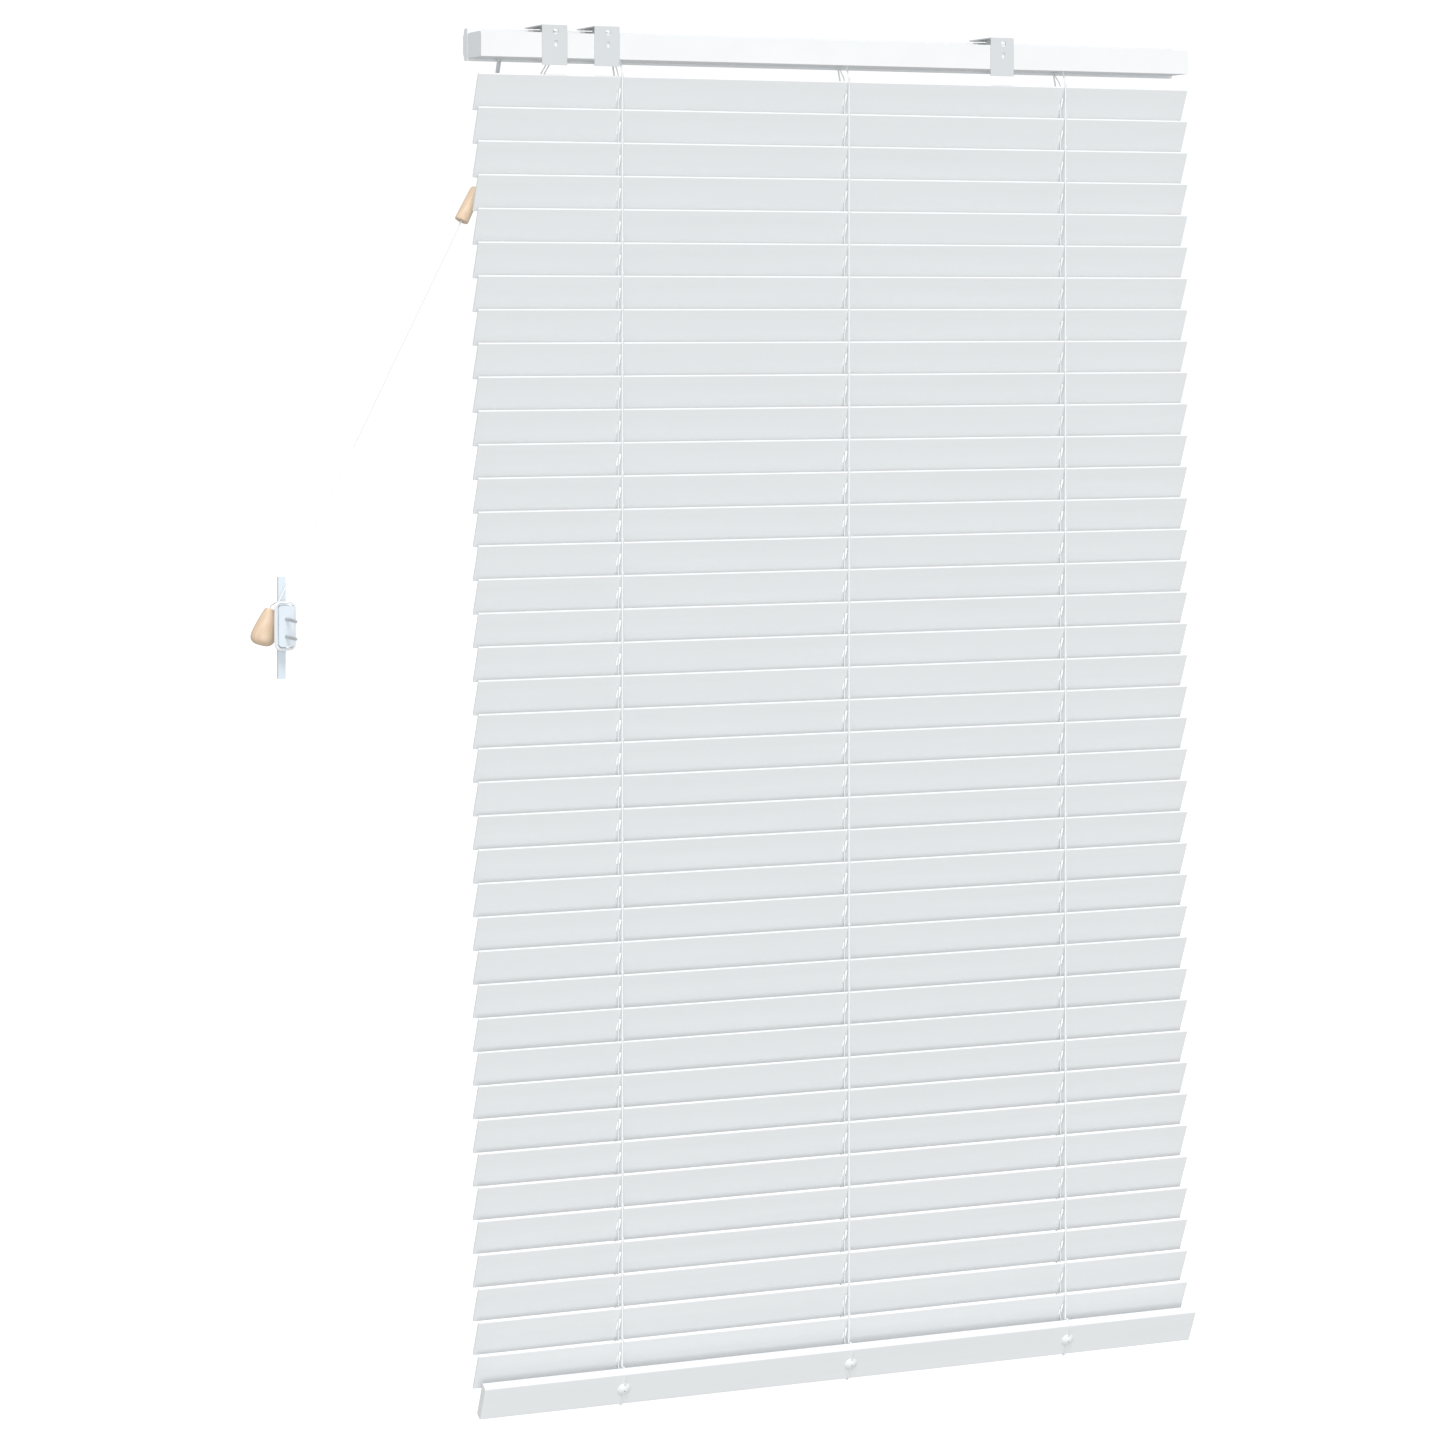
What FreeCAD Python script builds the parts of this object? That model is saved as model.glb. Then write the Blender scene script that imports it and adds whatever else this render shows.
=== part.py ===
import FreeCAD, Part
import math
import os
import re

import Sketcher

# Wooden venetian blind with its headrail, tilter, ladders, bottom rail, lift cords and cleat.
# Frame: origin in the round screw hole of the left bracket, on the wall face.
# +X runs along the headrail, +Y points from the wall into the room, +Z is up. Millimetres.

SIZES = {
    # slats
    "slat_count": 39,
    "slat_length": 1003.5,
    "slat_width": 50,
    "slat_thick": 3,
    "slat_round": 1.2,
    "slat_pitch": 42,
    "slat_left": -100.1,
    "slat_axis_y": 17.9,
    "slat_top_z": -76.4,
    "slat_tilt": 65,
    "slot_long": 18,
    "slot_wide": 5.5,
    # ladders
    "ladder_first": 91,
    "ladder_gap": 314,
    "ladder_count": 3,
    # headrail channel
    "headrail_left": -98.4,
    "headrail_length": 1000.4,
    "headrail_back": 1.7,
    "headrail_depth": 51.7,
    "headrail_floor": -33,
    "headrail_height": 31.5,
    "sheet_metal": 1,
    "headrail_lip": 6,
    "cap_thick": 1.4,
    "cap_tongue": 8,
    "cap_round": 4,
    # valance board
    "valance_left": -98.6,
    "valance_length": 1004.6,
    # brackets
    "bracket_width": 33,
    "bracket_metal": 1.5,
    "bracket_bottom": -42.2,
    "bracket_height": 50.4,
    "bracket_reach": 64.7,
    "bracket_offset": -1.8,
    "bracket_hole": 3.5,
    "bracket_oval_wide": 4.6,
    "bracket_oval_tall": 8,
    "bracket_oval_z": -15,
    "bracket_small_hole": 2,
    "hook_width": 14,
    "hook_length": 44,
    "hook_thick": 3,
    "hook_stem": 12,
    # tilt shaft
    "rod_y": 27.7,
    "rod_z": -17.5,
    "rod_radius": 3,
    "rod_bore": 3.1,
    "rod_left": -69,
    "rod_length": 812,
    "drum_radius": 12,
    "drum_core": 10.6,
    "drum_width": 24,
    "drum_rim": 2.5,
    "drum_bore": 3.05,
    "cradle_gap": 1,
    "cradle_wall": 2,
    "cradle_depth": 32,
    "cradle_height": 19,
    "cradle_bar": 3,
    # tilter
    "tilter_x": -58,
    "tilter_width": 24,
    "tilter_wall": 3,
    "gear_teeth": 16,
    "gear_radius": 9.2,
    "gear_width": 9,
    "tooth_gap": 1.1,
    "worm_lean": 22.6,
    "worm_exit_y": 48.2,
    "worm_core": 2.4,
    "worm_radius": 3.6,
    "worm_pitch": 3.2,
    "worm_turns": 4,
    "worm_start": -29,
    "stem_radius": 2.7,
    "stem_start": -15,
    "stem_end": 31,
    "eye_centre": 33,
    "eye_radius": 4,
    "eye_thick": 2.6,
    "eye_hole": 2.3,
    # wand
    "hook_ring": 8,
    "hook_wire": 0.9,
    "wand_radius": 5,
    "wand_length": 590,
    "wand_eye_hole": 1.4,
    "wand_knob": 7,
    # cords
    "string_radius": 0.9,
    "cord_radius": 0.95,
    "joiner_length": 47,
    "joiner_top": 7.5,
    "joiner_bottom": 9,
    "joiner_bore": 3,
    "acorn_lean": 15.3,
    # cleat
    "cleat_x": -349.2,
    "cleat_z": -734,
    "cleat_width": 19.3,
    "cleat_height": 50,
    "cleat_depth": 21,
    "cleat_round": 4,
    "horn_width": 9.7,
    "horn_height": 125,
    "horn_thick": 6,
    "horn_round": 1,
    "horn_y": 20,
    "horn_z": -737.5,
    "screws_z": -736,
    "screw_radius": 2.1,
    "screw_neck": 1.8,
    "screw_gap": 21.2,
    "screw_out": 40,
    "screw_tip": 6,
    "screw_head": 3.8,
    "screw_seat": 22.6,
    "winding_thick": 4,
    "winding_slack": 1.4,
    "winding_y": 2,
    "winding_depth": 7.6,
    # bottom rail
    "rail_left": -97,
    "rail_length": 1004.5,
    "rail_width": 48,
    "rail_thick": 12.5,
    "rail_round": 2,
    "rail_y": 5.8,
    "rail_z": -1706.1,
    "button_radius": 9.2,
    "button_height": 4,
    "button_stem": 3.9,
    "button_hole": 3.95,
    "button_depth": 7,
}

BRACKET_HOLES_X = (0, 70.2, 625)
X_AXIS = FreeCAD.Vector(1, 0, 0)
Y_AXIS = FreeCAD.Vector(0, 1, 0)
Z_AXIS = FreeCAD.Vector(0, 0, 1)
ALONG_X = FreeCAD.Rotation(Y_AXIS, 90)
ALONG_Y = FreeCAD.Rotation(X_AXIS, -90)
LADDERS_X = [SIZES["ladder_first"] + SIZES["ladder_gap"] * n for n in range(SIZES["ladder_count"])]

doc = FreeCAD.newDocument("venetian_blind")
sheet = doc.addObject("Spreadsheet::Sheet", "Dims")
for row, (alias, number) in enumerate(SIZES.items(), start=1):
    sheet.set("A%d" % row, alias)
    sheet.set("B%d" % row, str(number))
    sheet.setAlias("B%d" % row, alias)
doc.recompute()

nodes = []


def size(alias):
    """The number in the sheet's cell of that alias."""
    return float(sheet.get(alias))


def bind(thing, **formulas):
    """Binds properties to formulas of the sheet's aliases."""
    for name, formula in formulas.items():
        text = re.sub(r"[a-z][a-z_]+", lambda word: "Dims." + word.group(0), str(formula))
        thing.setExpression(name, text)
    return thing


def place(thing, x, y, z, turn=FreeCAD.Rotation()):
    thing.Placement = FreeCAD.Placement(FreeCAD.Vector(x, y, z), turn)
    return thing


def box(low, length, width, height):
    """Box from its low corner, with formulas for its sides."""
    solid = doc.addObject("Part::Box", "Block")
    bind(solid, Length=length, Width=width, Height=height)
    return place(solid, *low)


def rod(start, radius, length, turn=FreeCAD.Rotation()):
    """Cylinder from its start point, along the turned +Z."""
    solid = doc.addObject("Part::Cylinder", "Round")
    bind(solid, Radius=radius, Height=length)
    return place(solid, *start, turn)


def join(solids, kind="Part::MultiFuse"):
    whole = doc.addObject(kind, "Joined")
    if kind == "Part::Compound":
        whole.Links = solids
    else:
        whole.Shapes = solids
    return whole


def cut(base, tools):
    taken = doc.addObject("Part::Cut", "CutOut")
    taken.Base = base
    taken.Tool = tools[0] if len(tools) == 1 else join(tools)
    return taken


def round_edges(base, radius, wanted):
    """Fillet of the base's edges that wanted(edge) picks."""
    doc.recompute()
    rounded = doc.addObject("Part::Fillet", "Rounded")
    rounded.Base = base
    picked = [i for i, edge in enumerate(base.Shape.Edges, start=1) if wanted(edge)]
    rounded.Edges = [(i, radius, radius) for i in picked]
    return rounded


def runs_along(axis):
    """Edge test: a straight edge along that axis."""
    def wanted(edge):
        direction = edge.tangentAt(edge.FirstParameter)
        return abs(abs(direction.dot(axis)) - 1) < 1e-6 and isinstance(edge.Curve, Part.Line)
    return wanted


def node(thing, label):
    thing.Label = label
    nodes.append(thing)
    return thing


def origin_plane(body, role):
    return next(plane for plane in body.Origin.OriginFeatures if plane.Role == role)


def sketch_on(body, role, name):
    sketch = body.newObject("Sketcher::SketchObject", name)
    sketch.AttachmentSupport = [(origin_plane(body, role), "")]
    sketch.MapMode = "FlatFace"
    return sketch


def constrain(sketch, name, formula, *what):
    index = sketch.addConstraint(Sketcher.Constraint(*what))
    sketch.renameConstraint(index, name)
    sketch.setExpression("Constraints." + name, formula)


def outline(sketch, points):
    """Closed outline of straight sides and of arcs, given as (middle, end) pairs."""
    pen = FreeCAD.Vector(*points[0], 0)
    for step in points[1:] + points[:1]:
        if isinstance(step[0], tuple):
            middle, end = (FreeCAD.Vector(*spot, 0) for spot in step)
            sketch.addGeometry(Part.Arc(pen, middle, end), False)
        else:
            end = FreeCAD.Vector(*step, 0)
            sketch.addGeometry(Part.LineSegment(pen, end), False)
        pen = end


def centred_rectangle(sketch, width, height):
    """Rectangle about the sketch's origin, with named and bound width and height."""
    half_w = size(width) / 2
    half_h = size(height) / 2
    outline(sketch, [(-half_w, -half_h), (half_w, -half_h), (half_w, half_h), (-half_w, half_h)])
    for side in range(4):
        sketch.addConstraint(Sketcher.Constraint("Coincident", side, 2, (side + 1) % 4, 1))
        sketch.addConstraint(Sketcher.Constraint("Vertical" if side % 2 else "Horizontal", side))
    sketch.addConstraint(Sketcher.Constraint("Symmetric", 0, 1, 2, 1, -1, 1))
    constrain(sketch, "width", "Dims." + width, "DistanceX", 0, 1, 0, 2, 2 * half_w)
    constrain(sketch, "height", "Dims." + height, "DistanceY", 1, 1, 1, 2, 2 * half_h)


def tube(points, radius, label):
    """Round tube along straight runs, joined by tangent arcs as large as the runs allow."""
    spots = [FreeCAD.Vector(*point) for point in points]
    pen = spots[0]
    edges = []
    bends = []
    for before, corner, after in zip(spots, spots[1:], spots[2:]):
        back = before - corner
        ahead = after - corner
        reach = 0.45 * min(back.Length, ahead.Length)
        half_turn = (math.pi - back.getAngle(ahead)) / 2
        bend = reach / math.tan(half_turn)
        back.normalize()
        ahead.normalize()
        inwards = (back + ahead).normalize()
        middle = corner + inwards * (bend / math.cos(half_turn) - bend)
        edges.append(Part.LineSegment(pen, corner + back * reach).toShape())
        edges.append(Part.Arc(corner + back * reach, middle, corner + ahead * reach).toShape())
        pen = corner + ahead * reach
        bends.append(round(bend, 1))
    edges.append(Part.LineSegment(pen, spots[-1]).toShape())
    path = Part.Wire(edges)
    ring = Part.Wire(Part.makeCircle(radius, spots[0], spots[1] - spots[0]))
    solid = path.makePipeShell([ring], True, False)
    wanted = math.pi * radius ** 2 * path.Length
    print("%s: length %.1f, radii %s, volume ratio %.4f" % (label, path.Length, bends, solid.Volume / wanted))
    return solid


def soft(label, shapes):
    """Cord solids, shaped from their routes."""
    thing = doc.addObject("Part::Feature", label)
    thing.Shape = Part.makeCompound(shapes)
    return node(thing, label)


# Slats: one painted wooden strip each, with a slot for the lift cord at every ladder

TILTED = FreeCAD.Rotation(X_AXIS, -size("slat_tilt"))


def slat(number):
    label = "slat_%02d" % number
    body = doc.addObject("PartDesign::Body", label)
    section = sketch_on(body, "YZ_Plane", "SlatSection")
    centred_rectangle(section, "slat_width", "slat_thick")
    strip = body.newObject("PartDesign::Pad", "Strip")
    strip.Profile = section
    bind(strip, Length="slat_length")
    doc.recompute()
    softened = body.newObject("PartDesign::Fillet", "SoftEdges")
    long_edges = [i for i, edge in enumerate(strip.Shape.Edges, start=1) if runs_along(X_AXIS)(edge)]
    softened.Base = (strip, ["Edge%d" % i for i in long_edges])
    bind(softened, Radius="slat_round")
    slot = sketch_on(body, "XY_Plane", "SlotShape")
    middle_x = size("ladder_first") - size("slat_left")
    side = size("slot_wide") / 2
    run = size("slot_long") / 2 - side
    outline(slot, [(middle_x - side, -run),
                   ((middle_x, -run - side), (middle_x + side, -run)),
                   (middle_x + side, run),
                   ((middle_x, run + side), (middle_x - side, run))])
    opening = body.newObject("PartDesign::Pocket", "Slot")
    opening.Profile = slot
    opening.Type = "ThroughAll"
    opening.Midplane = True
    repeated = body.newObject("PartDesign::LinearPattern", "SlotRow")
    repeated.Originals = [opening]
    repeated.Direction = (slot, ["H_Axis"])
    repeated.Occurrences = int(size("ladder_count"))
    bind(repeated, Length="ladder_gap * (ladder_count - 1)")
    body.Tip = repeated
    place(body, size("slat_left"), size("slat_axis_y"),
          size("slat_top_z") - size("slat_pitch") * (number - 1), TILTED)
    return node(body, label)


for slat_number in range(1, int(size("slat_count")) + 1):
    slat(slat_number)


# Headrail: open steel channel with inward lips and holes in its floor

BACK = size("headrail_back")
FLOOR = size("headrail_floor")
WALL = size("sheet_metal")
LEFT = size("headrail_left")
CAP = size("cap_thick")
TOP = FLOOR + size("headrail_height")
FRONT = BACK + size("headrail_depth")
FLOOR_TOP = FLOOR + WALL


def floor_hole(x, y, length, width):
    """Tool for a hole through the channel's floor, from its low corner."""
    return box((x, y, FLOOR - 1), length, width, 3)


def headrail():
    blank = box((LEFT + CAP, BACK, FLOOR), "headrail_length - 2 * cap_thick", "headrail_depth",
                "headrail_height")
    inside = box((LEFT, BACK + WALL, FLOOR_TOP), "headrail_length", "headrail_depth - 2 * sheet_metal",
                 "headrail_height - 2 * sheet_metal")
    mouth_y = BACK + WALL + size("headrail_lip")
    mouth = box((LEFT, mouth_y, TOP - 2 * WALL), "headrail_length",
                "headrail_depth - 2 * (sheet_metal + headrail_lip)", 4)
    holes = [floor_hole(x - 4, 12, 8, 5.5) for x in LADDERS_X]
    holes += [floor_hole(x - 4, 31, 8, 12.5) for x in LADDERS_X]
    stem_hole = floor_hole(size("tilter_x") - 7, 44, 14, 8)
    lock_hole = floor_hole(4, 39, 14, 6)
    return node(cut(blank, [inside, mouth, stem_hole, lock_hole] + holes), "headrail")


def end_cap(face_x, tongue_x):
    plate = box((face_x, BACK, FLOOR), "cap_thick", "headrail_depth", "headrail_height")
    shaped = round_edges(plate, size("cap_round"),
                         lambda edge: runs_along(X_AXIS)(edge) and edge.BoundBox.ZMin > TOP - 1)
    tongue = box((tongue_x, BACK + WALL + 0.2, FLOOR_TOP + 0.2), "cap_tongue",
                 "headrail_depth - 2 * sheet_metal - 0.4", 5)
    return join([shaped, tongue])


def end_caps():
    right = LEFT + size("headrail_length")
    left_cap = end_cap(LEFT, LEFT + CAP)
    right_cap = end_cap(right - CAP, right - CAP - size("cap_tongue"))
    return node(join([left_cap, right_cap], "Part::Compound"), "end_caps")


def valance():
    """Moulded board in front of the headrail, flat at its back."""
    body = doc.addObject("PartDesign::Body", "valance")
    section = sketch_on(body, "YZ_Plane", "Moulding")
    outline(section, [(53.7, -35.9), (62.5, -35.9),
                      ((66.0, -34.4), (67.5, -31.0)), (67.5, -29.0),
                      ((69.5, -28.3), (70.5, -26.0)), (70.5, -6.0),
                      ((69.5, -3.7), (67.5, -3.0)), (67.5, -1.5),
                      ((66.0, 2.9), (62.0, 4.7)), (53.7, 4.7)])
    board = body.newObject("PartDesign::Pad", "Board")
    board.Profile = section
    bind(board, Length="valance_length")
    place(body, size("valance_left"), 0, 0)
    return node(body, "valance")


headrail()
end_caps()
valance()


# Brackets: folded plate with a screw hole and a slot, and a hook bar that holds the channel's lips

def bracket(hole_x):
    metal = size("bracket_metal")
    middle = hole_x + size("bracket_offset")
    left = middle - size("bracket_width") / 2
    bottom = size("bracket_bottom")
    flange_z = bottom + size("bracket_height") - metal
    plate = box((left, 0, bottom), "bracket_width", "bracket_metal", "bracket_height")
    flange = box((left, 0, flange_z), "bracket_width", "bracket_reach", "bracket_metal")
    hook_x = middle - size("hook_width") / 2
    hook_z = TOP - 2 * WALL - 0.5 - size("hook_thick")
    hook_y = (BACK + FRONT) / 2 - size("hook_length") / 2
    hook_bar = box((hook_x, hook_y, hook_z), "hook_width", "hook_length", "hook_thick")
    stem_y = (BACK + FRONT) / 2 - size("hook_stem") / 2
    stem = box((hook_x, stem_y, hook_z + 1), "hook_width", "hook_stem", flange_z - hook_z)
    rolled = rod((left + size("bracket_width"), metal / 2, bottom), metal / 2 - 0.05, "bracket_height - 1")
    round_hole = rod((hole_x, -1, 0), "bracket_hole", 4, ALONG_Y)
    half_wide = size("bracket_oval_wide") / 2
    rise = size("bracket_oval_tall") / 2 - half_wide
    oval_z = size("bracket_oval_z")
    oval = [box((hole_x - half_wide, -1, oval_z - rise), "bracket_oval_wide", 4, 2 * rise)]
    oval += [rod((hole_x, -1, oval_z + end), half_wide, 4, ALONG_Y) for end in (-rise, rise)]
    small = [rod((middle + side, 50, flange_z - 1), "bracket_small_hole", 4) for side in (-12, 12)]
    return cut(join([plate, flange, hook_bar, stem, rolled]), [round_hole] + oval + small)


node(join([bracket(x) for x in BRACKET_HOLES_X], "Part::Compound"), "mounting_brackets")


# Tilt shaft: hexagonal rod, a drum over every ladder and the tilter's gear

ROD_Y = size("rod_y")
ROD_Z = size("rod_z")


def tilt_rod():
    bar = doc.addObject("Part::Prism", "HexBar")
    bar.Polygon = 6
    bind(bar, Circumradius="rod_radius", Height="rod_length")
    place(bar, size("rod_left"), ROD_Y, ROD_Z, ALONG_X)
    return node(bar, "tilt_rod")


def drum(ladder_x):
    left = ladder_x - size("drum_width") / 2
    right = ladder_x + size("drum_width") / 2 - size("drum_rim")
    core = rod((left, ROD_Y, ROD_Z), "drum_core", "drum_width", ALONG_X)
    rims = [rod((x, ROD_Y, ROD_Z), "drum_radius", "drum_rim", ALONG_X) for x in (left, right)]
    bore = rod((left - 1, ROD_Y, ROD_Z), "drum_bore", "drum_width + 2", ALONG_X)
    return cut(join([core] + rims), [bore])


def cradle(ladder_x):
    """Open frame on the channel's floor, whose two walls carry the rod beside the drum."""
    wall = size("cradle_wall")
    depth = size("cradle_depth")
    bar = size("cradle_bar")
    low_z = FLOOR_TOP + 0.1
    inner = size("drum_width") / 2 + size("cradle_gap")
    back_y = ROD_Y - depth / 2
    walls = [box((x, back_y, low_z), "cradle_wall", "cradle_depth", "cradle_height")
             for x in (ladder_x - inner - wall, ladder_x + inner)]
    bars = [box((ladder_x - inner - wall, y, low_z), 2 * (inner + wall), "cradle_bar", 1.3)
            for y in (back_y - bar, back_y + depth)]
    feet = [box((x, back_y - bar, low_z), "cradle_wall", "cradle_depth + 2 * cradle_bar", 1.3)
            for x in (ladder_x - inner - wall, ladder_x + inner)]
    bore = rod((ladder_x - inner - wall - 1, ROD_Y, ROD_Z), "rod_bore", 2 * (inner + wall + 1), ALONG_X)
    arch = box((ladder_x - inner - wall - 1, 31, low_z - 1), 2 * (inner + wall + 1), 10.5, 4.5)
    return cut(join(walls + bars + feet), [bore, arch])


def tilter_gear():
    left = size("tilter_x") - size("gear_width") / 2
    blank = rod((left, ROD_Y, ROD_Z), "gear_radius", "gear_width", ALONG_X)
    gaps = []
    for tooth in range(int(size("gear_teeth"))):
        angle = 2 * math.pi * tooth / size("gear_teeth")
        gap_y = ROD_Y + size("gear_radius") * math.cos(angle)
        gap_z = ROD_Z + size("gear_radius") * math.sin(angle)
        gaps.append(rod((left - 1, gap_y, gap_z), "tooth_gap", "gear_width + 2", ALONG_X))
    bore = rod((left - 1, ROD_Y, ROD_Z), "drum_bore", "gear_width + 2", ALONG_X)
    return node(cut(blank, [bore] + gaps), "tilter_gear")


tilt_rod()
node(join([drum(x) for x in LADDERS_X], "Part::Compound"), "tilt_drums")
node(join([cradle(x) for x in LADDERS_X], "Part::Compound"), "drum_cradles")
tilter_gear()


# Tilter: housing, and a worm whose stem leans out through the channel's floor to an eye

TILTER_X = size("tilter_x")
WORM_TURN = FreeCAD.Rotation(X_AXIS, 180 + size("worm_lean"))
WORM_DIRECTION = WORM_TURN.multVec(Z_AXIS)
STEM_EXIT = FreeCAD.Vector(TILTER_X, size("worm_exit_y"), FLOOR)


def on_worm(distance):
    """Point of the worm's axis, measured from where the stem leaves the channel."""
    return STEM_EXIT + WORM_DIRECTION * distance


EYE = on_worm(size("eye_centre"))


def tilter_housing():
    left = TILTER_X - size("tilter_width") / 2
    wall = size("tilter_wall")
    shell = box((left, 15, FLOOR_TOP + 0.1), "tilter_width", 36.8, 25)
    cavity = box((left + wall, 17, FLOOR_TOP + 2), "tilter_width - 2 * tilter_wall", 33, 30)
    bore = rod((left - 1, ROD_Y, ROD_Z), "rod_bore", "tilter_width + 2", ALONG_X)
    stem_way = rod(on_worm(-12), "stem_radius + 0.4", 24, WORM_TURN)
    return node(cut(shell, [cavity, bore, stem_way]), "tilter_housing")


def tilter_worm():
    pitch = size("worm_pitch")
    start = size("worm_start")
    core = rod(on_worm(start), "worm_core", "stem_end - worm_start", WORM_TURN)
    threads = []
    for turn in range(int(size("worm_turns"))):
        rise = doc.addObject("Part::Cone", "Thread")
        bind(rise, Radius1="worm_core", Radius2="worm_radius", Height="worm_pitch / 2")
        place(rise, *on_worm(start + pitch * turn), WORM_TURN)
        fall = doc.addObject("Part::Cone", "Thread")
        bind(fall, Radius1="worm_radius", Radius2="worm_core", Height="worm_pitch / 2")
        place(fall, *on_worm(start + pitch * (turn + 0.5)), WORM_TURN)
        threads += [rise, fall]
    stem = rod(on_worm(size("stem_start")), "stem_radius", "stem_end - stem_start", WORM_TURN)
    eye_left = TILTER_X - size("eye_thick") / 2
    eye = rod((eye_left, EYE.y, EYE.z), "eye_radius", "eye_thick", ALONG_X)
    neck_room = rod((TILTER_X - 6, EYE.y, EYE.z), "eye_hole", 12, ALONG_X)
    return node(cut(join([core, stem, eye] + threads), [neck_room]), "tilter_worm")


tilter_housing()
tilter_worm()


# Wand: wire ring through the stem's eye, and the wand that hangs from it

WAND_PIVOT = EYE - Z_AXIS * 2 * size("hook_ring")


def wand_hook():
    ring = doc.addObject("Part::Torus", "Ring")
    bind(ring, Radius1="hook_ring", Radius2="hook_wire")
    place(ring, TILTER_X, EYE.y, EYE.z - size("hook_ring"), ALONG_Y)
    return node(ring, "wand_hook")


def wand():
    thick = size("eye_thick")
    eye = rod((TILTER_X - thick / 2, WAND_PIVOT.y, WAND_PIVOT.z), "eye_radius", "eye_thick", ALONG_X)
    tang = box((TILTER_X - thick / 2, WAND_PIVOT.y - 3, WAND_PIVOT.z - 12), "eye_thick", 6, 9)
    cap_z = WAND_PIVOT.z - 11
    ferrule = doc.addObject("Part::Cone", "Ferrule")
    bind(ferrule, Radius1="wand_radius", Radius2="wand_radius - 1.5", Height=6)
    place(ferrule, TILTER_X, WAND_PIVOT.y, cap_z - 6)
    end_z = cap_z - 6 - size("wand_length")
    shaft = rod((TILTER_X, WAND_PIVOT.y, end_z), "wand_radius", "wand_length")
    knob = doc.addObject("Part::Sphere", "Knob")
    bind(knob, Radius="wand_knob")
    place(knob, TILTER_X, WAND_PIVOT.y, end_z)
    hole = rod((TILTER_X - 4, WAND_PIVOT.y, WAND_PIVOT.z), "wand_eye_hole", 8, ALONG_X)
    return node(cut(join([eye, tang, ferrule, shaft, knob]), [hole]), "wand")


wand_hook()
wand()


# Cord lock: housing beside the rod with its brake roller, where the lift cords turn down

def cord_lock():
    shell = box((2, 33, FLOOR_TOP + 0.1), 20, 18, 22)
    way_down = box((5, 36, FLOOR_TOP - 1), 14, 12, 17)
    way_in = box((18, 34, FLOOR_TOP - 1), 6, 8.5, 5)
    brake = rod((12, 35, FLOOR_TOP + 9), 3.2, 14, ALONG_Y)
    return node(join([cut(shell, [way_down, way_in]), brake]), "cord_lock")


cord_lock()


# Ladder strings and lift cords, from the headrail down to the bottom rail

STRING = size("string_radius")
CORD = size("cord_radius")


def ladder(number, x):
    label = "ladder %d " % (number + 1)
    lift_y = 33 + 3 * number
    return [
        tube([(x, 14.7, -17.5), (x, 14.7, -34), (x, 4.8, -46), (x, 4.8, -1673)],
             STRING, label + "wall string"),
        tube([(x, 40.7, -17.5), (x, 40.7, -34), (x, 31, -57), (x, 31, -1700)],
             STRING, label + "room string"),
        tube([(24, lift_y, -30.4), (x, lift_y, -30.4), (x, lift_y, -35), (x, 18.9, -50), (x, 18.9, -1700)],
             STRING * 0.8, label + "lift cord"),
    ]


soft("ladder_and_lift_cords", [piece for n, x in enumerate(LADDERS_X) for piece in ladder(n, x)])


# Pull side: three strands to the joiner, one cord on to the cleat, its winding, and the acorn

JOINER_TOP = FreeCAD.Vector(-84.5, 58, -196)
CORD_ON_CLEAT = FreeCAD.Vector(-353.5, 9.5, -699)
JOINER_LINE = (CORD_ON_CLEAT - JOINER_TOP).normalize()
JOINER_END = JOINER_TOP + JOINER_LINE * size("joiner_length")
ACORN_TOP = FreeCAD.Vector(-358, 41, -715)
STRAND_EXITS = ((6.6, 42.5, -32.5), (11, 42.5, -32.5), (5.7, 40.4, -32.5))
STRAND_SPREAD = ((-2, 0, 0), (2, 0, 0), (-2.8, -1.9, 0))


def cord_joiner():
    turn = FreeCAD.Rotation(Z_AXIS, JOINER_LINE)
    bell = doc.addObject("Part::Cone", "Bell")
    bind(bell, Radius1="joiner_top", Radius2="joiner_bottom", Height="joiner_length")
    place(bell, *JOINER_TOP, turn)
    bore = rod(JOINER_TOP + JOINER_LINE * (size("joiner_length") - 12), "joiner_bore", 14, turn)
    return node(cut(bell, [bore]), "cord_joiner")


def acorn():
    body = doc.addObject("PartDesign::Body", "acorn")
    half = sketch_on(body, "XZ_Plane", "AcornHalf")
    outline(half, [(0, 0), (6.6, 0), ((11.6, -15), (15.0, -32)),
                   ((14.8, -39), (11.0, -44.4)), ((8.6, -45.9), (6.0, -46.5)), (0, -46.5)])
    turned = body.newObject("PartDesign::Revolution", "Turned")
    turned.Profile = half
    turned.ReferenceAxis = (half, ["V_Axis"])
    turned.Angle = 360
    place(body, *ACORN_TOP, FreeCAD.Rotation(Y_AXIS, size("acorn_lean")))
    return node(body, "acorn")


def winding():
    """Band of wound cord about the cleat's body, between the wall and the horns."""
    def block(grow):
        width = size("cleat_width") + 2 * grow
        height = size("cleat_height") + 2 * (grow + size("winding_slack"))
        low = FreeCAD.Vector(size("cleat_x") - width / 2, size("winding_y"), size("cleat_z") - height / 2)
        plain = Part.makeBox(width, size("winding_depth"), height, low)
        corners = [edge for edge in plain.Edges if runs_along(Y_AXIS)(edge)]
        return plain.makeFillet(size("cleat_round") + grow, corners)
    return block(size("winding_thick")).cut(block(0.3))


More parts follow.
